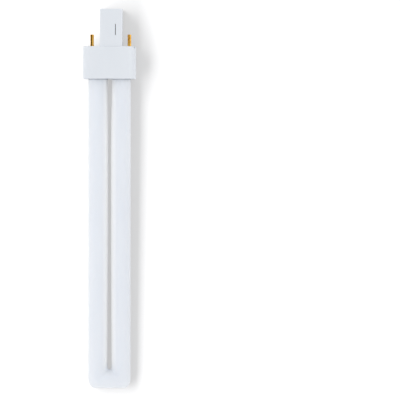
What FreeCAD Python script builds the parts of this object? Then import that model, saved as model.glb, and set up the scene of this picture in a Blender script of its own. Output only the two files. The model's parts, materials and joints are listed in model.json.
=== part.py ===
# A compact fluorescent lamp with two contact pins, lying on its back as it comes to rest.
# It is built upright: X across the two legs, -Y the slotted front, +Z from the glass to the plug, zero at the
# cap's shoulder. Then it is laid down, plug towards +Y and front up. All sizes are in millimetres.

import FreeCAD
import Part

import math
import os

Vec = FreeCAD.Vector

# Collar of the cap
collar_side_margin = 3.15
collar_depth = 19.0
collar_height = 20.0
collar_corner_radius = 5.0
collar_wall = 1.7
shoulder_wall = 1.6
shoulder_edge_radius = 0.7
rim_edge_radius = 0.4

# Plug of the cap, which holds the starter
plug_width = 13.7
plug_depth = 17.8
plug_height = 23.0
plug_wall = 1.2
plug_corner_radius = 0.7
plug_top_radius = 0.4
bay_corner_radius = 0.3
plug_offset = 1.1
slot_width = 0.38
slot_length = 6.8
slot_offset = 2.65
slot_start = 6.9
notch_width = 1.5
notch_height = 1.4
notch_depth = 1.2
notch_angle = 32

# Contact pins
pin_side_margin = 4.7
pin_offset = 0.65
pin_radius = 1.175
pin_length = 7.4
pin_tip_radius = 0.5
pin_seat_radius = 1.35
pin_flange_radius = 1.9
pin_flange_height = 0.7
pin_tail_radius = 0.95
pin_tail_length = 1.2
pin_hole_clearance = 0.03

# Glass: two legs and the bend that joins them
glass_width = 26.1
glass_length = 191.0
gap_at_mouth = 2.4
gap_at_waist = 1.25
gap_at_bend = 2.4
waist_distance = 47.0
gap_growth_power = 1.5
bend_thickness = 11.7
bend_corner_width = 4.1
bend_corner_height = 6.3
leg_inside_length = 6.5
seal_taper = 1.6
seal_height = 4.6
seal_width = 8.0
seal_thickness = 2.6
seal_corner_radius = 1.0
seal_lead_pitch = 3.6
lead_depth_in_seal = 2.0
section_points = 16

# Plate in the collar's mouth, and the cement on it
plate_recess = 0.9
plate_thickness = 2.2
plate_seat_width = 0.6
plate_clearance = 0.1
leg_clearance = 0.25
plate_edge_radius = 0.3
cement_height = 2.6
cement_width = 1.1
cement_gap = 0.02
cement_foot_height = 1.0

# Lead-in wires and the splices that join them
lead_radius = 0.3
lead_bend_radius = 0.9
fine_bend_radius = 0.7
pin_lead_straight_share = 0.2
starter_lead_straight_share = 0.3
wire_clearance = 0.02
splice_radius = 1.15
splice_length = 3.6
splice_socket = 1.6
splice_pitch = 6.8
splice_setback = 0.6
splice_drop = 0.7
splice_wire_pitch = 0.9
splice_wire_rise = 0.7

# Starter: a glow switch in its own glass bulb
bulb_radius = 3.8
bulb_wall = 0.5
bulb_length = 17.5
bulb_press_height = 2.6
bulb_press_width = 5.2
bulb_press_thickness = 2.2
bulb_press_radius = 0.5
bulb_floor_thickness = 0.9
bulb_edge_radius = 1.2
bulb_rise = 2.2
bulb_clearance = 0.6
starter_leg_radius = 0.25
starter_leg_pitch = 2.6
starter_leg_drop = 0.6
fixed_electrode_height = 9.5
bimetal_post_height = 5.0
strip_width = 1.6
strip_thickness = 0.25
strip_reach = 7.5
strip_hook_height = 0.6
strip_hook_reach = 1.95
strip_lap = 0.8

# Suppression capacitor
capacitor_width = 8.0
capacitor_thickness = 3.4
capacitor_height = 9.0
capacitor_edge_radius = 0.8
capacitor_top_radius = 0.5
capacitor_rise = 5.0
capacitor_clearance = 0.6
capacitor_lead_radius = 0.22
capacitor_lead_pitch = 5.0
capacitor_lead_depth = 1.0
capacitor_lead_drop = 1.2

# How far a cutting shape reaches past what it cuts
overcut = 1.0

# Places that follow from the sizes above
collar_width = glass_width + 2 * collar_side_margin
mouth_z = -collar_height
tip_z = mouth_z - glass_length
leg_radius_at_mouth = (glass_width - gap_at_mouth) / 4
leg_radius_at_bend = (glass_width - gap_at_bend) / 4
bend_z = tip_z + bend_thickness + gap_at_bend / 2
leg_top_z = mouth_z + leg_inside_length
seal_base_z = leg_top_z + seal_taper
seal_top_z = seal_base_z + seal_height
leg_x_at_mouth = glass_width / 2 - leg_radius_at_mouth
plate_base_z = mouth_z + plate_recess
plate_top_z = plate_base_z + plate_thickness
seat_wall = collar_wall - plate_seat_width
pin_tail_z = -shoulder_wall - pin_flange_height - pin_tail_length
splice_top_z = -splice_drop
splice_base_z = splice_top_z - splice_length
pin_pitch = collar_width - 2 * pin_side_margin
bay_depth = plug_depth - 2 * plug_wall
bulb_forward = bay_depth / 2 - bulb_clearance - bulb_radius
capacitor_back = bay_depth / 2 - capacitor_clearance - capacitor_thickness / 2
bulb_base_z = bulb_rise
bulb_body_z = bulb_base_z + bulb_press_height
bulb_top_z = bulb_base_z + bulb_length


def pin_x(side):
    """Place of a contact pin across the legs."""
    return pin_offset + side * pin_pitch / 2


def splice_x(side):
    """Place of a splice across the legs."""
    return plug_offset + side * splice_pitch / 2


def rounded_rectangle(width, depth, radius, z):
    """Closed outline, centred on the Z axis at height z, with round corners."""
    x, y, r = width / 2, depth / 2, radius
    diagonal = r * (1 - math.sqrt(0.5))
    corners = [(x, y, 1, 1), (-x, y, -1, 1), (-x, -y, -1, -1), (x, -y, 1, -1)]
    edges = []
    joints = []
    for cx, cy, sx, sy in corners:
        side_point = Vec(cx, cy - sy * r, z)
        end_point = Vec(cx - sx * r, cy, z)
        middle = Vec(cx - sx * diagonal, cy - sy * diagonal, z)
        first, last = (side_point, end_point) if sx * sy > 0 else (end_point, side_point)
        edges.append(Part.Arc(first, middle, last).toShape())
        joints.append((first, last))
    for index in range(4):
        start = joints[index][1]
        finish = joints[(index + 1) % 4][0]
        edges.append(Part.LineSegment(start, finish).toShape())
    return Part.Wire(Part.__sortEdges__(edges))


def rounded_prism(width, depth, radius, low, high):
    """Upright prism of a rounded rectangle between two heights."""
    face = Part.Face(rounded_rectangle(width, depth, radius, low))
    return face.extrude(Vec(0, 0, high - low))


def box(x_range, y_range, z_range):
    """Box between two corners."""
    size = [high - low for low, high in (x_range, y_range, z_range)]
    return Part.makeBox(size[0], size[1], size[2], Vec(x_range[0], y_range[0], z_range[0]))


def moved(shape, x=0.0, y=0.0, z=0.0):
    """Copy of a shape, shifted."""
    result = shape.copy()
    result.translate(Vec(x, y, z))
    return result


def edges_at_height(shape, z):
    """Edges that lie wholly at one height."""
    return [e for e in shape.Edges if abs(e.BoundBox.ZMin - z) < 1e-4 and abs(e.BoundBox.ZMax - z) < 1e-4]


def wire_along(points, radius, bend_radius):
    """Round wire along straight runs joined by tangent arcs."""
    vertices = [Vec(*p) for p in points]
    edges = []
    start = vertices[0]
    for before, corner, after in zip(vertices, vertices[1:], vertices[2:]):
        towards = (before - corner).normalize()
        away = (after - corner).normalize()
        turn = math.pi - towards.getAngle(away)
        reach = bend_radius * math.tan(turn / 2)
        arc_start = corner + towards * reach
        arc_end = corner + away * reach
        bisector = (towards + away).normalize()
        centre = corner + bisector * (bend_radius / math.cos(turn / 2))
        arc_middle = centre - bisector * bend_radius
        edges.append(Part.LineSegment(start, arc_start).toShape())
        edges.append(Part.Arc(arc_start, arc_middle, arc_end).toShape())
        start = arc_end
    edges.append(Part.LineSegment(start, vertices[-1]).toShape())
    path = Part.Wire(edges)
    profile = Part.Wire([Part.makeCircle(radius, vertices[0], vertices[1] - vertices[0])])
    return path.makePipeShell([profile], True, True)


def gap_at(distance):
    """Gap between the two legs at a distance from the collar's mouth."""
    if distance <= 0:
        return gap_at_mouth
    if distance < waist_distance:
        share = (1 - math.cos(math.pi * distance / waist_distance)) / 2
        return gap_at_mouth + (gap_at_waist - gap_at_mouth) * share
    straight_length = mouth_z - bend_z
    share = min(1.0, (distance - waist_distance) / (straight_length - waist_distance))
    return gap_at_waist + (gap_at_bend - gap_at_waist) * share ** gap_growth_power


def oval(centre, outward, along, across):
    """Smooth closed curve round a centre, with one half-axis outward and the other in the depth."""
    sideways = Vec(0, 1, 0)
    angles = [math.radians(step * 360 / section_points) for step in range(section_points)]
    points = [centre + outward * (along * math.cos(a)) + sideways * (across * math.sin(a)) for a in angles]
    curve = Part.BSplineCurve()
    curve.interpolate(Points=points, PeriodicFlag=True, Parameters=angles + [2 * math.pi])
    return curve


def skinned_solid(curves, places):
    """Solid whose side passes smoothly through closed curves, one at each place along it."""
    lengthwise = []
    for column in zip(*[curve.getPoles() for curve in curves]):
        line = Part.BSplineCurve()
        line.interpolate(Points=list(column), Parameters=places)
        lengthwise.append(line)
    poles = [list(row) for row in zip(*[line.getPoles() for line in lengthwise])]
    along, around = lengthwise[0], curves[0]
    side = Part.BSplineSurface()
    side.buildFromPolesMultsKnots(poles, along.getMultiplicities(), around.getMultiplicities(), along.getKnots(),
                                  around.getKnots(), False, True, along.Degree, around.Degree)
    skin = side.toShape()
    rims = [edge for edge in skin.Edges if not edge.isSeam(skin)]
    shell = Part.Shell([skin] + [Part.Face(Part.Wire([rim])) for rim in rims])
    solid = Part.Solid(shell)
    return solid if solid.Volume > 0 else solid.reversed()


def leg_section(side, z):
    """Round section of one leg, whose outer side is straight and whose inner side swells."""
    radius = (glass_width - gap_at(mouth_z - z)) / 4
    return oval(Vec(side * (glass_width / 2 - radius), 0, z), Vec(side, 0, 0), radius, radius)


def bend_reach(angle):
    """Distance from the bend's centre to its outer side, a rectangle with two oval corners."""
    half_width, height = glass_width / 2, bend_z - tip_z
    a, b = bend_corner_width, bend_corner_height
    c, s = math.cos(angle), math.sin(angle)
    corner_x, corner_y = half_width - a, height - b
    square = (c / a) ** 2 + (s / b) ** 2
    middle = corner_x * c / a ** 2 + corner_y * s / b ** 2
    root = middle ** 2 - square * ((corner_x / a) ** 2 + (corner_y / b) ** 2 - 1)
    if root > 0:
        reach = (middle + math.sqrt(root)) / square
        if reach * c >= corner_x and reach * s >= corner_y:
            return reach
    return min(half_width / max(c, 1e-9), height / max(s, 1e-9))


def bend_section(angle):
    """Oval section of the bend, in the plane at an angle below the +X direction."""
    mirrored = math.pi - angle if angle > math.pi / 2 else angle
    inner = gap_at_bend / 2
    outer = bend_reach(mirrored)
    outward = Vec(math.cos(angle), 0, -math.sin(angle))
    centre = Vec(0, 0, bend_z) + outward * ((inner + outer) / 2)
    return oval(centre, outward, (outer - inner) / 2, leg_radius_at_bend)


def seal(side):
    """Flattened and sealed top of one leg, with two holes for its lead-in wires."""
    x = side * leg_x_at_mouth
    round_end = Part.Wire([leg_section(side, leg_top_z).toShape()])
    flat_end = rounded_rectangle(seal_width, seal_thickness, seal_corner_radius, seal_base_z)
    flat_end.translate(Vec(x, 0, 0))
    taper = Part.makeLoft([round_end, flat_end], True, True)
    flat = rounded_prism(seal_width, seal_thickness, seal_corner_radius, seal_base_z, seal_top_z)
    shape = taper.fuse(moved(flat, x=x))
    for shift in (-seal_lead_pitch / 2, seal_lead_pitch / 2):
        hole = Part.makeCylinder(lead_radius + wire_clearance, lead_depth_in_seal,
                                 Vec(x + shift, 0, seal_top_z - lead_depth_in_seal))
        shape = shape.cut(hole)
    return shape


def make_discharge_tube():
    """Both legs, the bend and both seals, one sealed piece of glass."""
    half_turn = [math.radians(a) for a in (0, 12, 22, 28, 34, 41, 48, 54, 64, 77)]
    turn = half_turn + [math.pi / 2] + [math.pi - a for a in reversed(half_turn)]
    bend = skinned_solid([bend_section(a) for a in turn], turn)
    below_waist = mouth_z - bend_z - waist_distance
    distances = [waist_distance * share for share in (0, 0.15, 0.4, 0.7, 1.0)]
    distances += [waist_distance + below_waist * share for share in (0.25, 0.5, 0.75, 1.0)]
    pieces = []
    for side in (-1, 1):
        sections = [Part.Wire([leg_section(side, mouth_z - d).toShape()]) for d in distances]
        inside = Part.Face(sections[0]).extrude(Vec(0, 0, leg_inside_length))
        pieces += [Part.makeLoft(sections, True, False), inside, seal(side)]
    return bend.fuse(pieces).removeSplitter()


def make_base_shell():
    """Collar and plug of the cap, one hollow moulding open at the collar's mouth."""
    collar = rounded_prism(collar_width, collar_depth, collar_corner_radius, mouth_z, 0)
    collar = collar.makeFillet(shoulder_edge_radius, edges_at_height(collar, 0))
    collar = collar.makeFillet(rim_edge_radius, edges_at_height(collar, mouth_z))
    plug = rounded_prism(plug_width, plug_depth, plug_corner_radius, -shoulder_wall, plug_height)
    plug = plug.makeFillet(plug_top_radius, edges_at_height(plug, plug_height))
    shape = collar.fuse(moved(plug, x=plug_offset))
    for side in (-1, 1):
        x = plug_offset + side * slot_offset
        face_y = side * -plug_depth / 2
        slot_y = sorted((face_y - side * plug_wall, face_y + side * plug_wall))
        slot = box((x - slot_width / 2, x + slot_width / 2), slot_y, (slot_start, slot_start + slot_length))
        notch = box((collar_corner_radius - notch_depth, collar_corner_radius + overcut),
                    (-notch_width / 2, notch_width / 2), (-notch_height, overcut))
        half_turn = math.degrees(math.pi) if side < 0 else 0
        notch.rotate(Vec(0, 0, 0), Vec(0, 0, 1), half_turn - notch_angle)
        notch = moved(notch, x=side * (collar_width / 2 - collar_corner_radius),
                      y=-side * (collar_depth / 2 - collar_corner_radius))
        shape = shape.cut([slot, notch])
    hollow = rounded_prism(collar_width - 2 * collar_wall, collar_depth - 2 * collar_wall,
                           collar_corner_radius - collar_wall, mouth_z - overcut, -shoulder_wall)
    seat = rounded_prism(collar_width - 2 * seat_wall, collar_depth - 2 * seat_wall,
                         collar_corner_radius - seat_wall, mouth_z - overcut, plate_top_z)
    bay = rounded_prism(plug_width - 2 * plug_wall, bay_depth, bay_corner_radius,
                        -shoulder_wall - overcut, plug_height - plug_wall)
    cuts = [hollow, seat, moved(bay, x=plug_offset)]
    for side in (-1, 1):
        cuts.append(Part.makeCylinder(pin_seat_radius + pin_hole_clearance, shoulder_wall + 2 * overcut,
                                      Vec(pin_x(side), 0, -shoulder_wall - overcut)))
    return shape.cut(cuts).removeSplitter()


def make_tube_plate():
    """Plate that closes the collar's mouth, with a round hole for each leg."""
    inset = seat_wall + plate_clearance
    plate = rounded_prism(collar_width - 2 * inset, collar_depth - 2 * inset, collar_corner_radius - inset,
                          plate_base_z, plate_top_z)
    plate = plate.makeFillet(plate_edge_radius, edges_at_height(plate, plate_base_z))
    for side in (-1, 1):
        plate = plate.cut(Part.makeCylinder(leg_radius_at_mouth + leg_clearance, plate_thickness + 2 * overcut,
                                            Vec(side * leg_x_at_mouth, 0, plate_base_z - overcut)))
    return plate


def make_cement_bead(side):
    """Ring of cement round one leg, on the plate, sloping up to the glass."""
    x = side * leg_x_at_mouth
    inner = leg_radius_at_mouth + cement_gap
    outer = inner + cement_width
    profile = Part.makePolygon([Vec(inner, 0, 0), Vec(outer, 0, 0), Vec(outer, 0, cement_foot_height),
                                Vec(inner, 0, cement_height), Vec(inner, 0, 0)])
    bead = Part.Face(profile).revolve(Vec(0, 0, 0), Vec(0, 0, 1), 360)
    bead = moved(bead, x=x, z=plate_top_z)
    half_depth = collar_depth / 2 - collar_wall - plate_clearance
    x_far = collar_width / 2 - collar_wall - plate_clearance
    x_range = sorted((side * cement_gap, side * x_far))
    room = box(x_range, (-half_depth, half_depth), (plate_top_z, plate_top_z + cement_height))
    return bead.common(room)


def make_contact_pin(side):
    """Brass pin with a domed tip, a flange under the shoulder and a drilled tail for its wire."""
    x = pin_x(side)
    shank = Part.makeCylinder(pin_radius, pin_length, Vec(x, 0, 0))
    shank = shank.makeFillet(pin_tip_radius, edges_at_height(shank, pin_length))
    seat = Part.makeCylinder(pin_seat_radius, shoulder_wall, Vec(x, 0, -shoulder_wall))
    flange = Part.makeCylinder(pin_flange_radius, pin_flange_height,
                               Vec(x, 0, -shoulder_wall - pin_flange_height))
    tail = Part.makeCylinder(pin_tail_radius, pin_tail_length, Vec(x, 0, pin_tail_z))
    drilling = Part.makeCylinder(lead_radius + wire_clearance, -pin_tail_z + pin_length / 2,
                                 Vec(x, 0, pin_tail_z))
    return shank.fuse([seat, flange, tail]).cut(drilling).removeSplitter()


def make_pin_lead(side):
    """Lead-in wire from a leg's seal into its contact pin."""
    x_seal = side * (leg_x_at_mouth + seal_lead_pitch / 2)
    x_pin = pin_x(side)
    rise = (pin_tail_z - seal_top_z) * pin_lead_straight_share
    points = [(x_seal, 0, seal_top_z - lead_depth_in_seal), (x_seal, 0, seal_top_z + rise),
              (x_pin, 0, pin_tail_z - rise), (x_pin, 0, pin_length / 2)]
    return wire_along(points, lead_radius, lead_bend_radius)


def make_starter_lead(side):
    """Lead-in wire from a leg's seal into the underside of its splice."""
    x_seal = side * (leg_x_at_mouth - seal_lead_pitch / 2)
    x_splice = splice_x(side)
    rise = (splice_base_z - seal_top_z) * starter_lead_straight_share
    points = [(x_seal, 0, seal_top_z - lead_depth_in_seal), (x_seal, 0, seal_top_z + rise),
              (x_splice, splice_setback, splice_base_z - rise),
              (x_splice, splice_setback, splice_base_z + splice_socket)]
    return wire_along(points, lead_radius, lead_bend_radius)


def make_splice(side):
    """Crimped ferrule with one wire from below and two from above."""
    x = splice_x(side)
    body = Part.makeCylinder(splice_radius, splice_length, Vec(x, splice_setback, splice_base_z))
    sockets = [
        (lead_radius, 0, splice_base_z),
        (starter_leg_radius, -splice_wire_pitch / 2, splice_top_z - splice_socket),
        (capacitor_lead_radius, splice_wire_pitch / 2, splice_top_z - splice_socket),
    ]
    for radius, shift, z in sockets:
        body = body.cut(Part.makeCylinder(radius + wire_clearance, splice_socket,
                                          Vec(x, splice_setback + shift, z)))
    return body


def make_starter_leg(side, height):
    """Wire from a splice through the glow switch's seal, up to a height inside its bulb."""
    x_splice = splice_x(side)
    x_bulb = plug_offset + side * starter_leg_pitch / 2
    y_splice = splice_setback - splice_wire_pitch / 2
    points = [(x_splice, y_splice, splice_top_z - splice_socket),
              (x_splice, y_splice, splice_top_z + splice_wire_rise),
              (x_bulb, -bulb_forward, bulb_base_z - starter_leg_drop),
              (x_bulb, -bulb_forward, bulb_base_z + height)]
    return wire_along(points, starter_leg_radius, fine_bend_radius)


def make_starter_bulb():
    """Hollow glass bulb with a flat sealed foot and a round top."""
    def solid_bulb(radius, low, high):
        barrel = Part.makeCylinder(radius, high - low - radius, Vec(0, 0, low))
        dome = Part.makeSphere(radius, Vec(0, 0, high - radius))
        return barrel.fuse(dome)

    foot = rounded_prism(bulb_press_width, bulb_press_thickness, bulb_press_radius, bulb_base_z,
                         bulb_body_z + bulb_wall)
    outer = solid_bulb(bulb_radius, bulb_body_z, bulb_top_z)
    inner = solid_bulb(bulb_radius - bulb_wall, bulb_body_z + bulb_floor_thickness, bulb_top_z - bulb_wall)
    outer = outer.makeFillet(bulb_edge_radius, edges_at_height(outer, bulb_body_z))
    shape = outer.fuse(foot).cut(inner)
    for side in (-1, 1):
        shape = shape.cut(Part.makeCylinder(starter_leg_radius + wire_clearance,
                                            bulb_press_height + bulb_floor_thickness + 2 * overcut,
                                            Vec(side * starter_leg_pitch / 2, 0, bulb_base_z - overcut)))
    return moved(shape, x=plug_offset, y=-bulb_forward)


def make_bimetal_strip():
    """Bent strip on the left leg that leans over towards the fixed electrode."""
    x = plug_offset - starter_leg_pitch / 2 + starter_leg_radius + wire_clearance
    low = bulb_base_z + bimetal_post_height - strip_lap
    high = low + strip_reach
    turn = starter_leg_pitch / 2
    outline = [(x, low), (x, high), (x + turn, high + strip_hook_height), (x + strip_hook_reach, high)]
    inner = [(px + strip_thickness, pz - (strip_thickness if index > 1 else 0))
             for index, (px, pz) in enumerate(outline)]
    loop = outline + list(reversed(inner)) + outline[:1]
    face = Part.Face(Part.makePolygon([Vec(px, -bulb_forward - strip_width / 2, pz) for px, pz in loop]))
    return face.extrude(Vec(0, strip_width, 0))


def make_capacitor_body():
    """Block of the capacitor with rounded edges and two lead holes."""
    block = rounded_prism(capacitor_width, capacitor_thickness, capacitor_edge_radius,
                          capacitor_rise, capacitor_rise + capacitor_height)
    block = block.makeFillet(capacitor_top_radius, edges_at_height(block, capacitor_rise + capacitor_height))
    for side in (-1, 1):
        block = block.cut(Part.makeCylinder(capacitor_lead_radius + wire_clearance, capacitor_lead_depth,
                                            Vec(side * capacitor_lead_pitch / 2, 0, capacitor_rise)))
    return moved(block, x=plug_offset, y=capacitor_back)


def make_capacitor_lead(side):
    """Wire from a splice to the capacitor."""
    x_splice = splice_x(side)
    x_body = plug_offset + side * capacitor_lead_pitch / 2
    y_splice = splice_setback + splice_wire_pitch / 2
    points = [(x_splice, y_splice, splice_top_z - splice_socket),
              (x_splice, y_splice, splice_top_z + splice_wire_rise),
              (x_body, capacitor_back, capacitor_rise - capacitor_lead_drop),
              (x_body, capacitor_back, capacitor_rise + capacitor_lead_depth)]
    return wire_along(points, capacitor_lead_radius, fine_bend_radius)


def resting_tilt():
    """Angle at which the collar's rim and the far end of the glass both touch the surface."""
    rim_z = mouth_z + rim_edge_radius
    rim_y = collar_depth / 2 - rim_edge_radius
    end_z = tip_z + bend_thickness / 2
    run = rim_z - end_z
    drop = leg_radius_at_bend - rim_edge_radius
    return math.atan2(rim_y, run) - math.asin(drop / math.hypot(run, rim_y))


def laid_down(shapes):
    """All pieces turned onto their back, tilted to rest, with the origin under the middle."""
    placement = FreeCAD.Placement(Vec(0, 0, 0), FreeCAD.Rotation(Vec(1, 0, 0), math.degrees(resting_tilt()) - 90))
    turned = {name: shape.copy() for name, shape in shapes.items()}
    for shape in turned.values():
        shape.Placement = placement.multiply(shape.Placement)
    bounds = Part.makeCompound(list(turned.values())).optimalBoundingBox(False, False)
    shift = Vec(-bounds.Center.x, -bounds.Center.y, -bounds.ZMin)
    for shape in turned.values():
        shape.translate(shift)
    return turned


def main():
    """Build every piece, lay the lamp down and write one file per piece."""
    shapes = {
        "discharge_tube": make_discharge_tube(),
        "base_shell": make_base_shell(),
        "tube_plate": make_tube_plate(),
        "starter_bulb": make_starter_bulb(),
        "bimetal_strip": make_bimetal_strip(),
        "capacitor_body": make_capacitor_body(),
    }
    reach_in_bulb = {-1: bimetal_post_height, 1: fixed_electrode_height}
    for side, word in ((-1, "left"), (1, "right")):
        shapes["cement_bead_" + word] = make_cement_bead(side)
        shapes["contact_pin_" + word] = make_contact_pin(side)
        shapes["pin_lead_" + word] = make_pin_lead(side)
        shapes["starter_lead_" + word] = make_starter_lead(side)
        shapes["splice_" + word] = make_splice(side)
        shapes["starter_leg_" + word] = make_starter_leg(side, reach_in_bulb[side])
        shapes["capacitor_lead_" + word] = make_capacitor_lead(side)

    os.makedirs("parts", exist_ok=True)
    for name, shape in laid_down(shapes).items():
        solids = len(shape.Solids)
        print(f"{name}: {solids} solid, volume {shape.Volume:.1f}, valid {shape.isValid()}")
        shape.exportStep(f"parts/{name}.step")


main()
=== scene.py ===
# A two-pin twin-tube compact fluorescent lamp, lying on a white table and seen from straight above.
# The lamp is modelled upright in millimetres: X across its two legs, -Y its front, Z from the glass to the
# plug, with zero at the shoulder of the cap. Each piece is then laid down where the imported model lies.

import json
import math

import bmesh
import bpy
from mathutils import Matrix, Vector


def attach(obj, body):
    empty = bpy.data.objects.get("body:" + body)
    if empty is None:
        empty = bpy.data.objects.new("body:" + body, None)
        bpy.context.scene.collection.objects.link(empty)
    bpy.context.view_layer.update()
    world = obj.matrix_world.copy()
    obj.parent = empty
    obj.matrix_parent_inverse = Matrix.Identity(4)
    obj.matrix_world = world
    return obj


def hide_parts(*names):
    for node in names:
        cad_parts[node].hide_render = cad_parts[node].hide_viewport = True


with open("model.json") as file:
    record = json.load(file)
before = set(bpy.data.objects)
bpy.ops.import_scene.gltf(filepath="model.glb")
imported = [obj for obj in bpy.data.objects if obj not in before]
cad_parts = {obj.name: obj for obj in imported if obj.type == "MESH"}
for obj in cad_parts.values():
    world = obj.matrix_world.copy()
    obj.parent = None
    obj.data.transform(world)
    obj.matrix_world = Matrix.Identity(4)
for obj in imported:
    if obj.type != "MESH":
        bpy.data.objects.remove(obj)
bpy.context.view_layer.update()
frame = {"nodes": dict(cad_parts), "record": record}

nodes = frame["nodes"]
mounts = {mount["name"]: mount for mount in frame["record"]["mounts"]}
print("frame loaded:", len(nodes), "pieces")


# Where the lamp lies: its own axes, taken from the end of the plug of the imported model

cap = {
    "plugHeight": 23.0,
    "plugOffset": 1.1,
    "collarHeight": 20.0,
}
millimetre = 0.001

alongLamp = Vector(mounts["cap_plug"]["axis"]).normalized()
acrossLamp = Vector((1, 0, 0))
backOfLamp = alongLamp.cross(acrossLamp)
shoulder = Vector(mounts["cap_plug"]["pos_m"])
shoulder -= alongLamp * cap["plugHeight"] * millimetre + acrossLamp * cap["plugOffset"] * millimetre
laidDown = Matrix.Translation(shoulder) @ Matrix((acrossLamp, backOfLamp, alongLamp)).transposed().to_4x4()
laidDown = laidDown @ Matrix.Scale(millimetre, 4)


# Small helpers for meshes

tolerance = 1e-5
edgeSteps = 5                  # facets across a softened edge


def finishPiece(name, mesh, material, replaced, sharpAngle=32, weighted=True):
    # a finished piece: laid down, shaded smooth with crisp edges, riding on the lamp
    piece = bpy.data.objects.new(name, mesh)
    bpy.context.scene.collection.objects.link(piece)
    mesh.transform(laidDown)
    mesh.shade_smooth()
    mesh.set_sharp_from_angle(angle=math.radians(sharpAngle))
    mesh.materials.clear()
    mesh.materials.append(material)
    if weighted:
        normals = piece.modifiers.new("faceNormals", "WEIGHTED_NORMAL")
        normals.keep_sharp = True
    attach(piece, "root")
    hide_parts(*replaced)


def meshFrom(bm, name):
    bmesh.ops.recalc_face_normals(bm, faces=bm.faces)
    mesh = bpy.data.meshes.new(name)
    bm.to_mesh(mesh)
    bm.free()
    return mesh


def roundedBlock(name, size, low, corner, topEdge=0.0, bottomEdge=0.0, shiftX=0.0, steps=10):
    # upright block with round corners, standing at height low, with softened top and bottom edges
    bm = bmesh.new()
    bmesh.ops.create_cube(bm, size=1)
    bmesh.ops.scale(bm, vec=size, verts=bm.verts)
    bmesh.ops.translate(bm, vec=(shiftX, 0, low + size[2] / 2), verts=bm.verts)
    uprights = [e for e in bm.edges if abs(e.verts[0].co.z - e.verts[1].co.z) > size[2] / 2]
    bmesh.ops.bevel(bm, geom=uprights, offset=corner, affect="EDGES", segments=steps, profile=0.5,
                    material=-1)
    for edgeRadius, height in ((topEdge, low + size[2]), (bottomEdge, low)):
        if edgeRadius > 0:
            rim = [e for e in bm.edges if all(abs(v.co.z - height) < tolerance for v in e.verts)]
            bmesh.ops.bevel(bm, geom=rim, offset=edgeRadius, affect="EDGES", segments=edgeSteps,
                            profile=0.5, material=-1)
    return meshFrom(bm, name)


def upright(name, radius, low, high, place, steps=48):
    # plain upright rod, for cutting round holes
    bm = bmesh.new()
    bmesh.ops.create_cone(bm, cap_ends=True, segments=steps, radius1=radius, radius2=radius,
                          depth=high - low)
    bmesh.ops.translate(bm, vec=(place[0], place[1], (low + high) / 2), verts=bm.verts)
    return meshFrom(bm, name)


def combined(body, tools, operation):
    # one mesh joined with or cut by others
    holder = bpy.data.objects.new("holder", body)
    bpy.context.scene.collection.objects.link(holder)
    extras = []
    for tool in tools:
        extra = bpy.data.objects.new("extra", tool)
        bpy.context.scene.collection.objects.link(extra)
        extras.append(extra)
        step = holder.modifiers.new("step", "BOOLEAN")
        step.operation, step.solver, step.object = operation, "EXACT", extra
    bpy.context.view_layer.update()
    result = bpy.data.meshes.new_from_object(holder.evaluated_get(bpy.context.evaluated_depsgraph_get()))
    for used in [holder] + extras:
        bpy.data.objects.remove(used)
    return result


# Materials: sums, differences and products of sockets are written as Python expressions

class Signal:
    # wraps one output socket
    def __init__(self, finish, socket):
        self.finish, self.socket = finish, socket

    def math(self, operation, first, second=0.0):
        return self.finish.node("ShaderNodeMath", {"operation": operation}, {0: first, 1: second})

    def __add__(self, other):
        return self.math("ADD", self, other)

    def __radd__(self, other):
        return self.math("ADD", other, self)

    def __rsub__(self, other):
        return self.math("SUBTRACT", other, self)

    def __mul__(self, other):
        return self.math("MULTIPLY", self, other)

    def __rmul__(self, other):
        return self.math("MULTIPLY", other, self)

    def size(self):
        return self.math("ABSOLUTE", self)

    def either(self, other):
        return self.math("MAXIMUM", self, other)


class Finish:
    # node tree of one material or world, built a node at a time
    def __init__(self, owner):
        owner.use_nodes = True
        self.owner, self.tree = owner, owner.node_tree
        self.tree.nodes.clear()

    def node(self, kind, settings=None, inputs=None, output=0):
        made = self.tree.nodes.new(kind)
        for key, value in (settings or {}).items():
            setattr(made, key, value)
        for key, value in (inputs or {}).items():
            if isinstance(value, Signal):
                self.tree.links.new(value.socket, made.inputs[key])
            else:
                made.inputs[key].default_value = value
        return Signal(self, made.outputs[output]) if len(made.outputs) else None

    def place(self):
        return self.node("ShaderNodeTexCoord", output="Object")

    def along(self, axis):
        # how far a point lies along an axis of the lamp
        return self.node("ShaderNodeVectorMath", {"operation": "DOT_PRODUCT"},
                         {0: self.place(), 1: tuple(axis)}, output="Value")

    def noise(self, scale, detail=2.0, stretch=(1, 1, 1), roughness=0.5):
        where = self.node("ShaderNodeMapping", {}, {"Vector": self.place(), "Scale": stretch})
        return self.node("ShaderNodeTexNoise", {}, {"Vector": where, "Scale": scale, "Detail": detail,
                                                    "Roughness": roughness})

    def blend(self, factor, first, second):
        return self.node("ShaderNodeMix", {"data_type": "RGBA"}, {0: factor, 6: first, 7: second}, output=2)

    def spread(self, signal, low, high):
        return self.node("ShaderNodeMapRange", {}, {"Value": signal, "From Min": low, "From Max": high})

    def bump(self, height, distance):
        return self.node("ShaderNodeBump", {}, {"Height": height, "Distance": distance, "Strength": 1.0})

    def surface(self, settings):
        shader = self.node("ShaderNodeBsdfPrincipled", {}, settings)
        self.node("ShaderNodeOutputMaterial", {}, {"Surface": shader})
        return self.owner


def colour(red, green, blue):
    # a colour as seen on screen, 0 to 255, in the shader's own scale
    def linear(value):
        value = value / 255
        return value / 12.92 if value <= 0.04045 else ((value + 0.055) / 1.055) ** 2.4
    return (linear(red), linear(green), linear(blue), 1.0)


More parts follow.
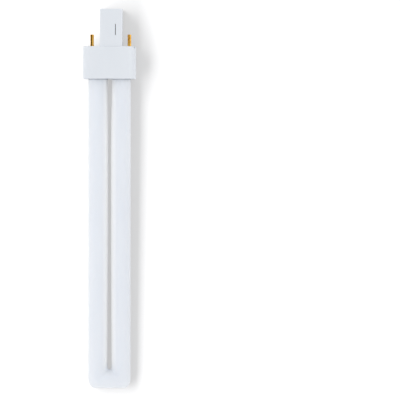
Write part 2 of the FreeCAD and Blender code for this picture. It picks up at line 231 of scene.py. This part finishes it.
def coatedGlassFinish():
    # white phosphor behind a clear glass wall; painted light makes it paler where the legs face each other,
    # and painted shade makes a grey ring where they enter the cap; the places are in millimetres
    look = {
        "body": colour(231, 234, 239),
        "thin": colour(226, 230, 236),
        "thinShare": 0.5,
        # painted light: a paler colour that lifts the shade on the legs' facing flanks
        "paintedLight": colour(247, 248, 250),
        "paintedLightFrom": (4.4, 1.5),        # distances from the middle, across the legs
        "paintedLightEnd": (-1, 4),            # distances from the inside of the bend, along the legs
        # painted shade: the colour of the grey ring just below the collar's mouth
        "paintedShade": colour(198, 202, 208),
        "paintedShadePlace": (0.75, 0.45),       # distances from the mouth of the collar, along the legs
        "cloudSize": 90.0,
        "waveSize": 130.0,
        "waveDepth": 0.00002,
    }
    finish = Finish(bpy.data.materials.new("coatedGlass"))
    clouds = finish.spread(finish.noise(look["cloudSize"], 3.0, (1, 0.25, 1)), 0.35, 0.75)
    waves = finish.noise(look["waveSize"], 1.0, (1, 0.15, 1))
    along = finish.along(alongLamp)
    across = finish.along(acrossLamp).size()
    mouth = shoulder.dot(alongLamp) + glass["mouth"] * millimetre
    bend = mouth - (glass["length"] - glass["bendThickness"]) * millimetre
    # painted shade: a grey ring on the legs just below the collar's mouth
    paintedShade = finish.spread(along, *[mouth - place * millimetre for place in look["paintedShadePlace"]])
    # painted light: paler flanks where the legs face each other, running down to the bend
    paintedLight = finish.spread(across, *[place * millimetre for place in look["paintedLightFrom"]])
    paintedLight = paintedLight * finish.spread(along, *[bend + place * millimetre for place in look["paintedLightEnd"]])
    coating = finish.blend(clouds * look["thinShare"], look["body"], look["thin"])
    coating = finish.blend(paintedLight, coating, look["paintedLight"])
    return finish.surface({
        "Base Color": finish.blend(paintedShade, coating, look["paintedShade"]),
        "Roughness": 0.6,
        "Specular IOR Level": 0.1,
        "Coat Weight": 0.2,
        "Coat Roughness": 0.05,
        "Coat IOR": 1.5,
        "Subsurface Weight": 1.0,
        "Subsurface Radius": (1.0, 1.0, 1.0),
        "Subsurface Scale": 0.006,
        "Normal": finish.bump(waves, look["waveDepth"]),
    })


def capPlasticFinish():
    # satin white moulded plastic with a fine eroded grain
    look = {
        "body": colour(231, 235, 240),
        "dull": colour(223, 228, 234),
        "dullShare": 0.35,
        "flowSize": 70.0,
        "grainSize": 5200.0,
        "grainDepth": 0.000006,
    }
    finish = Finish(bpy.data.materials.new("capPlastic"))
    grain = finish.noise(look["grainSize"], 3.0)
    flow = finish.spread(finish.noise(look["flowSize"], 3.0, (1, 0.5, 1)), 0.35, 0.75)
    return finish.surface({
        "Base Color": finish.blend(flow * look["dullShare"], look["body"], look["dull"]),
        "Roughness": 0.36 + flow * 0.12,
        "IOR": 1.5,
        "Subsurface Weight": 0.15,
        "Subsurface Radius": (1.0, 1.0, 1.0),
        "Subsurface Scale": 0.001,
        "Normal": finish.bump(grain, look["grainDepth"]),
    })


def pinBrassFinish():
    # drawn brass with turning rings and a brown tarnish in patches
    look = {
        "bright": colour(249, 197, 94),
        "tarnish": colour(206, 128, 34),
        "tarnishShare": 0.8,
        "patchSize": 900.0,
        "ringSize": 900.0,
        "ringDepth": 0.000008,
    }
    finish = Finish(bpy.data.materials.new("pinBrass"))
    patches = finish.spread(finish.noise(look["patchSize"], 3.0, (1, 0.6, 1)), 0.42, 0.68)
    rings = finish.node("ShaderNodeTexWave", {"bands_direction": "Y"},
                        {"Vector": finish.place(), "Scale": look["ringSize"], "Distortion": 0.6,
                         "Detail": 1.0})
    return finish.surface({
        "Base Color": finish.blend(patches * look["tarnishShare"], look["bright"], look["tarnish"]),
        "Metallic": 1.0,
        "Roughness": 0.1 + patches * 0.14,
        "Normal": finish.bump(rings, look["ringDepth"]),
    })


def metalFinish(name, body, worn, roughness, size=1500.0, stretch=(1, 1, 1)):
    # plain metal with faint patches and drawn lines
    finish = Finish(bpy.data.materials.new(name))
    patches = finish.spread(finish.noise(size * 0.4, 2.0), 0.35, 0.7)
    lines = finish.noise(size, 2.0, stretch)
    return finish.surface({
        "Base Color": finish.blend(patches, body, worn),
        "Metallic": 1.0,
        "Roughness": roughness + patches * 0.15,
        "Normal": finish.bump(lines, 0.00001),
    })


def cementFinish():
    finish = Finish(bpy.data.materials.new("cement"))
    crumbs = finish.noise(1400.0, 6.0, roughness=0.7)
    return finish.surface({
        "Base Color": finish.blend(crumbs, colour(214, 208, 192), colour(178, 170, 152)),
        "Roughness": 0.9,
        "Normal": finish.bump(crumbs, 0.0001),
    })


def resinFinish():
    finish = Finish(bpy.data.materials.new("resin"))
    peel = finish.noise(700.0, 2.0)
    return finish.surface({
        "Base Color": finish.blend(peel, colour(190, 104, 38), colour(164, 84, 28)),
        "Roughness": 0.28,
        "Coat Weight": 0.6,
        "Normal": finish.bump(peel, 0.00005),
    })


def clearGlassFinish():
    finish = Finish(bpy.data.materials.new("clearGlass"))
    seeds = finish.noise(500.0, 2.0)
    return finish.surface({
        "Base Color": finish.blend(seeds, (0.93, 0.97, 0.97, 1), (0.86, 0.93, 0.94, 1)),
        "Roughness": 0.02,
        "IOR": 1.5,
        "Transmission Weight": 1.0,
        "Normal": finish.bump(seeds, 0.00002),
    })


capPlastic = capPlasticFinish()
pinBrass = pinBrassFinish()
print("materials made")


# The glass: two legs and the square-moulded bend, one skin drawn ring by ring along its route

glass = {
    "width": 26.1,
    "length": 191.0,
    "mouth": -cap["collarHeight"],
    "gapAtMouth": 2.4,
    "gapAtWaist": 1.25,
    "gapAtBend": 2.4,
    "gapPower": 1.5,           # how late the gap widens again towards the bend
    "waistDistance": 47.0,
    "bendThickness": 11.7,
    "cornerWidth": 4.1,
    "cornerHeight": 6.3,
    "insideLength": 6.5,
    "sealTaper": 1.6,
    "sealHeight": 4.6,
    "sealWidth": 8.0,
    "sealThickness": 2.6,
    "sealEdge": 0.4,
    "sealEdgeShare": 0.8,
    "taperRings": 6,
    "ringPoints": 72,
    "legRings": 44,
    "bendRings": 64,
    "seamDepth": 0.05,
    "seamStart": 6,            # rings at each end of the bend that the mould seam leaves out
    "sharpAngle": 50,
}


def gapAt(distance):
    # gap between the legs at a distance below the collar's mouth
    straight = glass["length"] - glass["bendThickness"] - glass["gapAtBend"] / 2
    if distance <= 0:
        return glass["gapAtMouth"]
    if distance < glass["waistDistance"]:
        share = (1 - math.cos(math.pi * distance / glass["waistDistance"])) / 2
        return glass["gapAtMouth"] + (glass["gapAtWaist"] - glass["gapAtMouth"]) * share
    share = min(1.0, (distance - glass["waistDistance"]) / (straight - glass["waistDistance"]))
    return glass["gapAtWaist"] + (glass["gapAtBend"] - glass["gapAtWaist"]) * share ** glass["gapPower"]


def bendReach(angle):
    # how far the bend's outer side stands from the middle of its inner curve
    halfWidth = glass["width"] / 2
    height = glass["bendThickness"] + glass["gapAtBend"] / 2
    wide, high = glass["cornerWidth"], glass["cornerHeight"]
    cosine, sine = abs(math.cos(angle)), math.sin(angle)
    cornerX, cornerZ = halfWidth - wide, height - high
    square = (cosine / wide) ** 2 + (sine / high) ** 2
    middle = cornerX * cosine / wide ** 2 + cornerZ * sine / high ** 2
    root = middle ** 2 - square * ((cornerX / wide) ** 2 + (cornerZ / high) ** 2 - 1)
    if root > 0:
        reach = (middle + math.sqrt(root)) / square
        if reach * cosine >= cornerX and reach * sine >= cornerZ:
            return reach
    return min(halfWidth / max(cosine, tolerance), height / max(sine, tolerance))


def ringMatrix(centre, outward, along, across):
    # places a unit ring: one half-axis outward, the other in the lamp's depth
    depth = Vector((0, 1, 0))
    axes = Matrix((outward, depth, outward.cross(depth))).transposed().to_4x4()
    return Matrix.Translation(centre) @ axes @ Matrix.Diagonal((along, across, 1, 1))


def legStations(side):
    # rings of one leg from its flat seal down to the bend
    outward = Vector((side, 0, 0))
    stations = []
    top = glass["mouth"] + glass["insideLength"]
    radius = (glass["width"] - glass["gapAtMouth"]) / 4
    centreX = side * (glass["width"] / 2 - radius)
    sealBase = top + glass["sealTaper"]
    sealTop = sealBase + glass["sealHeight"]
    halfWidth, halfThickness = glass["sealWidth"] / 2, glass["sealThickness"] / 2
    sealRings = ((sealTop, glass["sealEdgeShare"]), (sealTop - glass["sealEdge"], 1), (sealBase, 1))
    for height, edge in sealRings:
        stations.append((Vector((centreX, 0, height)), outward, halfWidth * edge, halfThickness * edge))
    for step in range(1, glass["taperRings"]):
        done = step / glass["taperRings"]
        share = (1 - math.cos(math.pi * done)) / 2
        stations.append((Vector((centreX, 0, sealBase - glass["sealTaper"] * done)), outward,
                         halfWidth * (1 - share) + radius * share,
                         halfThickness * (1 - share) + radius * share))
    bendTop = glass["mouth"] - glass["length"] + glass["bendThickness"] + glass["gapAtBend"] / 2
    for step in range(glass["legRings"]):
        height = top + (bendTop - top) * step / glass["legRings"]
        legRadius = (glass["width"] - gapAt(glass["mouth"] - height)) / 4
        stations.append((Vector((side * (glass["width"] / 2 - legRadius), 0, height)), outward, legRadius,
                         legRadius))
    return stations


def bendStations():
    # rings of the bend, from the right leg round to the left
    inner = glass["gapAtBend"] / 2
    middle = Vector((0, 0, glass["mouth"] - glass["length"] + glass["bendThickness"] + inner))
    across = (glass["width"] - glass["gapAtBend"]) / 4
    stations = []
    for step in range(glass["bendRings"] + 1):
        angle = math.pi * step / glass["bendRings"]
        outer = bendReach(angle)
        outward = Vector((math.cos(angle), 0, -math.sin(angle)))
        stations.append((middle + outward * (inner + outer) / 2, outward, (outer - inner) / 2, across))
    return stations


def makeGlass():
    bm = bmesh.new()
    stations = legStations(1) + bendStations() + list(reversed(legStations(-1)))
    ring = bmesh.ops.create_circle(bm, cap_ends=True, segments=glass["ringPoints"], radius=1)["verts"]
    edges = list(bm.edges)
    rings = []
    before = Matrix.Identity(4)
    for station in stations:
        if rings:
            grown = bmesh.ops.extrude_edge_only(bm, edges=edges)["geom"]
            ring = [item for item in grown if isinstance(item, bmesh.types.BMVert)]
            edges = [item for item in grown if isinstance(item, bmesh.types.BMEdge)]
        after = ringMatrix(*station)
        bmesh.ops.transform(bm, matrix=after @ before.inverted(), verts=ring)
        before = after
        rings.append(ring)
    bmesh.ops.edgeloop_fill(bm, edges=edges)
    firstBend = len(legStations(1))
    # the mould seam: a faint groove along the outermost line of the bend
    for step in range(glass["seamStart"], glass["bendRings"] + 1 - glass["seamStart"]):
        centre, outward = stations[firstBend + step][:2]
        outermost = max(rings[firstBend + step], key=lambda v: (v.co - centre).dot(outward))
        bmesh.ops.translate(bm, vec=-outward * glass["seamDepth"], verts=[outermost])
    return meshFrom(bm, "dischargeTube")


finishPiece("dischargeTube", makeGlass(), coatedGlassFinish(), ["discharge_tube"],
            sharpAngle=glass["sharpAngle"], weighted=False)
print("glass drawn")


# The cap: collar and plug, one hollow moulding

cap.update({
    "collarWidth": 32.4,
    "collarDepth": 19.0,
    "collarCorner": 5.0,
    "collarWall": 1.7,
    "shoulderWall": 1.6,
    "shoulderEdge": 0.7,
    "rimEdge": 0.4,
    "seatWall": 1.1,
    "seatDepth": 3.1,
    "plugWidth": 13.7,
    "plugDepth": 17.8,
    "plugWall": 1.2,
    "plugCorner": 0.7,
    "plugTopEdge": 0.4,
    "slotWidth": 0.38,
    "slotLength": 6.8,
    "slotOffset": 2.65,
    "slotStart": 6.9,
    "slotCorner": 0.1,
    "notchWidth": 1.5,
    "notchHeight": 1.4,
    "notchDepth": 1.2,
    "notchAngle": 32,
    "notchCorner": 0.12,
    "notchEdge": 0.1,
    "hollowEdge": 0.3,
    "bayCorner": 0.3,
    "pinHole": 1.38,
    "overcut": 1.0,            # how far a cutter reaches past the shape that it cuts
})

pin = {
    "pitch": 23.0,
    "offset": 0.65,
    "radius": 1.175,
    "waist": 1.09,
    "length": 7.4,
    "tip": 0.45,
    "seat": 1.35,
    "flange": 1.9,
    "flangeHeight": 0.7,
    "tail": 0.95,
    "tailLength": 1.2,
    "drill": 0.32,
    "drillDepth": 3.7,
    "seatEdge": 0.12,
    "seatStep": 0.1,
    "footLow": 0.05,
    "footHigh": 0.9,
    "waistLow": 1.4,
    "waistBelowEnd": 1.5,
    "headBelowEnd": 1.1,
    "steps": 48,
    "tipSteps": 6,
}


def pinPlace(side):
    return pin["offset"] + side * pin["pitch"] / 2


def makeNotch(side):
    # cutter for a keying notch, square to the round corner of the collar
    corner, depth, overcut = cap["collarCorner"], cap["notchDepth"], cap["overcut"]
    block = roundedBlock("notch", (depth + overcut, cap["notchWidth"], cap["notchHeight"] + overcut),
                         -cap["notchHeight"], cap["notchCorner"], bottomEdge=cap["notchEdge"],
                         shiftX=corner - depth + (depth + overcut) / 2, steps=3)
    halfTurn = math.pi if side < 0 else 0
    block.transform(Matrix.Rotation(halfTurn - math.radians(cap["notchAngle"]), 4, "Z"))
    block.transform(Matrix.Translation((side * (cap["collarWidth"] / 2 - corner),
                                        -side * (cap["collarDepth"] / 2 - corner), 0)))
    return block


def makeCap():
    mouth, overcut = -cap["collarHeight"], cap["overcut"]
    collar = roundedBlock("capShell", (cap["collarWidth"], cap["collarDepth"], cap["collarHeight"]), mouth,
                          cap["collarCorner"], cap["shoulderEdge"], cap["rimEdge"], steps=14)
    plug = roundedBlock("plug", (cap["plugWidth"], cap["plugDepth"], cap["plugHeight"] + overcut), -overcut,
                        cap["plugCorner"], cap["plugTopEdge"], shiftX=cap["plugOffset"], steps=5)
    body = combined(collar, [plug], "UNION")
    wall, seat = cap["collarWall"], cap["seatWall"]
    plugWall, shoulderWall = cap["plugWall"], cap["shoulderWall"]
    tools = [
        roundedBlock("hollow", (cap["collarWidth"] - 2 * wall, cap["collarDepth"] - 2 * wall,
                                cap["collarHeight"] - shoulderWall + overcut), mouth - overcut,
                     cap["collarCorner"] - wall, topEdge=cap["hollowEdge"]),
        roundedBlock("seat", (cap["collarWidth"] - 2 * seat, cap["collarDepth"] - 2 * seat,
                              cap["seatDepth"] + overcut), mouth - overcut, cap["collarCorner"] - seat),
        roundedBlock("bay", (cap["plugWidth"] - 2 * plugWall, cap["plugDepth"] - 2 * plugWall,
                             cap["plugHeight"] - plugWall + shoulderWall + overcut),
                     -shoulderWall - overcut, cap["bayCorner"], shiftX=cap["plugOffset"], steps=3),
    ]
    for side in (-1, 1):
        tools.append(upright("hole", cap["pinHole"], -shoulderWall - overcut, overcut, (pinPlace(side), 0)))
        slot = roundedBlock("slot", (cap["slotWidth"], 2 * plugWall + overcut, cap["slotLength"]),
                            cap["slotStart"], cap["slotCorner"], steps=2)
        slot.transform(Matrix.Translation((cap["plugOffset"] + side * cap["slotOffset"],
                                           -side * cap["plugDepth"] / 2, 0)))
        tools += [slot, makeNotch(side)]
    return combined(body, tools, "DIFFERENCE")


finishPiece("capShell", makeCap(), capPlastic, ["base_shell"])
print("cap moulded")


# The contact pins: turned brass with a waist between two rims

def makePin(side):
    bm = bmesh.new()
    radius, tip, length, seat = pin["radius"], pin["tip"], pin["length"], pin["seat"]
    wall = cap["shoulderWall"]
    flangeLow = -wall - pin["flangeHeight"]
    tipAngles = [math.radians(90 * step / pin["tipSteps"]) for step in range(1, pin["tipSteps"] + 1)]
    profile = [(pin["drill"], flangeLow - pin["tailLength"]),
               (pin["tail"], flangeLow - pin["tailLength"]),
               (pin["tail"], flangeLow),
               (pin["flange"], flangeLow),
               (pin["flange"], -wall),
               (seat, -wall),
               (seat, -pin["seatEdge"]),
               (seat - pin["seatStep"], 0.0),
               (radius, pin["footLow"]),
               (radius, pin["footHigh"]),
               (pin["waist"], pin["waistLow"]),
               (pin["waist"], length - pin["waistBelowEnd"]),
               (radius, length - pin["headBelowEnd"]),
               (radius, length - tip)]
    profile += [(radius - tip * (1 - math.cos(a)), length - tip * (1 - math.sin(a))) for a in tipAngles]
    profile += [(0, length), (0, pin["drillDepth"]), (pin["drill"], pin["drillDepth"]), profile[0]]
    verts = [bm.verts.new((x, 0, z)) for x, z in profile[:-1]]
    verts.append(verts[0])
    edges = [bm.edges.new(pair) for pair in zip(verts, verts[1:])
             if not (pair[0].co.x == 0 and pair[1].co.x == 0)]
    bmesh.ops.spin(bm, geom=verts[:-1] + edges, axis=(0, 0, 1), cent=(0, 0, 0), dvec=(0, 0, 0),
                   angle=2 * math.pi, steps=pin["steps"], use_merge=True)
    bmesh.ops.remove_doubles(bm, verts=bm.verts, dist=tolerance)
    loose = [v for v in bm.verts if not v.link_faces]
    bmesh.ops.delete(bm, geom=loose, context="VERTS")
    bmesh.ops.translate(bm, vec=(pinPlace(side), 0, 0), verts=bm.verts)
    return meshFrom(bm, "contactPin")


for side, word in ((-1, "Left"), (1, "Right")):
    finishPiece("contactPin" + word, makePin(side), pinBrass, ["contact_pin_" + word.lower()])
print("pins turned")


# The pieces inside the cap keep their own shape and get their own finish

leadWire = metalFinish("leadWire", colour(196, 194, 190), colour(150, 146, 140), 0.25, 2500.0, (1, 0.05, 1))
spliceMetal = metalFinish("spliceMetal", colour(208, 208, 204), colour(170, 168, 162), 0.3)
bimetalMetal = metalFinish("bimetalMetal", colour(176, 170, 160), colour(128, 120, 112), 0.3, 3000.0,
                           (0.05, 1, 1))
innerFinishes = {
    "tube_plate": capPlastic,
    "cement_bead": cementFinish(),
    "pin_lead": leadWire,
    "starter_lead": leadWire,
    "starter_leg": leadWire,
    "capacitor_lead": leadWire,
    "splice": spliceMetal,
    "starter_bulb": clearGlassFinish(),
    "bimetal_strip": bimetalMetal,
    "capacitor_body": resinFinish(),
}
for nodeName, node in nodes.items():
    for start, material in innerFinishes.items():
        if nodeName.startswith(start):
            node.data.materials.clear()
            node.data.materials.append(material)
print("inner pieces finished")


# Table, sky and lamps

studio = {
    "tableSize": 6.0,
    "tableGlow": 0.43,          # light of its own, as a table lit from below: pure white where it is open
    "glowHidden": 0.5,          # the share of that glow that the lamp doesn't get
    "tableColour": (0.30, 0.30, 0.302, 1),
    "skyStrength": 0.93,
    "skyColour": (0.985, 0.99, 1, 1),
    "darkSide": 0.09,           # how bright metal and glass see the dark wall on the left
    "darkEdge": (-0.05, 0.35),  # where that wall ends and where the white begins
    "stripPlace": (-0.89, 0.06, 1.20),
    "stripLength": 2.3,
    "stripWidth": 0.6,
    "stripPower": 2.5,
    "tablePower": 49.0,         # the strip's share that falls on the table alone
}


def makeTable():
    bm = bmesh.new()
    bmesh.ops.create_grid(bm, x_segments=1, y_segments=1, size=studio["tableSize"] / 2)
    mesh = bpy.data.meshes.new("table")
    bm.to_mesh(mesh)
    bm.free()
    table = bpy.data.objects.new("table", mesh)
    bpy.context.scene.collection.objects.link(table)
    finish = Finish(bpy.data.materials.new("tableTop"))
    top = finish.node("ShaderNodeBsdfDiffuse", {}, {"Color": studio["tableColour"]})
    soft = finish.node("ShaderNodeLightPath", output="Is Diffuse Ray")
    strength = studio["tableGlow"] * (1 - soft * studio["glowHidden"])
    glow = finish.node("ShaderNodeEmission", {}, {"Color": (1, 1, 1, 1), "Strength": strength})
    both = finish.node("ShaderNodeAddShader", {}, {0: top, 1: glow})
    finish.node("ShaderNodeOutputMaterial", {}, {"Surface": both})
    mesh.materials.append(finish.owner)
    return table


def makeSky():
    # even white sky; metal and glass see a darker wall on the left of it
    world = bpy.data.worlds.new("studioSky")
    bpy.context.scene.world = world
    finish = Finish(world)
    camera, glossy, through = [finish.node("ShaderNodeLightPath", output=kind) for kind in
                               ("Is Camera Ray", "Is Glossy Ray", "Is Transmission Ray")]
    mirrored = glossy.either(through)
    direction = finish.node("ShaderNodeSeparateXYZ", {}, {0: finish.node("ShaderNodeTexCoord")}, output="X")
    side = finish.spread(direction, *studio["darkEdge"])
    mirror = studio["darkSide"] + side * (1 - studio["darkSide"])
    plain = studio["skyStrength"] + camera * (1 - studio["skyStrength"])
    strength = plain * (1 - mirrored) + mirror * mirrored
    sky = finish.node("ShaderNodeBackground", {}, {"Color": studio["skyColour"], "Strength": strength})
    finish.node("ShaderNodeOutputWorld", {}, {"Surface": sky})


def makeStrip(name, power, lit=None):
    # long soft lamp on the left, parallel to the glass
    data = bpy.data.lights.new(name, "AREA")
    data.shape = "RECTANGLE"
    data.size, data.size_y = studio["stripWidth"], studio["stripLength"]
    data.energy = power
    strip = bpy.data.objects.new(name, data)
    bpy.context.scene.collection.objects.link(strip)
    x, y, z = studio["stripPlace"]
    strip.location = (x, y, z)
    strip.rotation_euler = (0, math.atan2(x, z), 0)
    strip.visible_glossy = False
    if lit:
        only = bpy.data.collections.new(name + "Lit")
        only.objects.link(lit)
        strip.light_linking.receiver_collection = only


table = makeTable()
makeSky()
makeStrip("strip", studio["stripPower"])
makeStrip("tableStrip", studio["tablePower"], table)
print("studio lit")


# Camera straight above, framed as the photograph is

photo = {
    "pixels": 400,
    "pixelOnTable": 0.00061993,
    "middle": (0.05582, -0.00066),
    "turn": 0.0013,
    "height": 2.0,
    "sensor": 36.0,
}


def makeCamera():
    data = bpy.data.cameras.new("camera")
    camera = bpy.data.objects.new("camera", data)
    bpy.context.scene.collection.objects.link(camera)
    bpy.context.scene.camera = camera
    data.sensor_width = photo["sensor"]
    data.lens = photo["sensor"] * photo["height"] / (photo["pixels"] * photo["pixelOnTable"])
    data.clip_start, data.clip_end = 0.01, 20
    camera.location = (*photo["middle"], photo["height"])
    camera.rotation_euler = (0, 0, photo["turn"])


makeCamera()
bpy.context.scene.view_settings.view_transform = "Standard"
print("camera set")
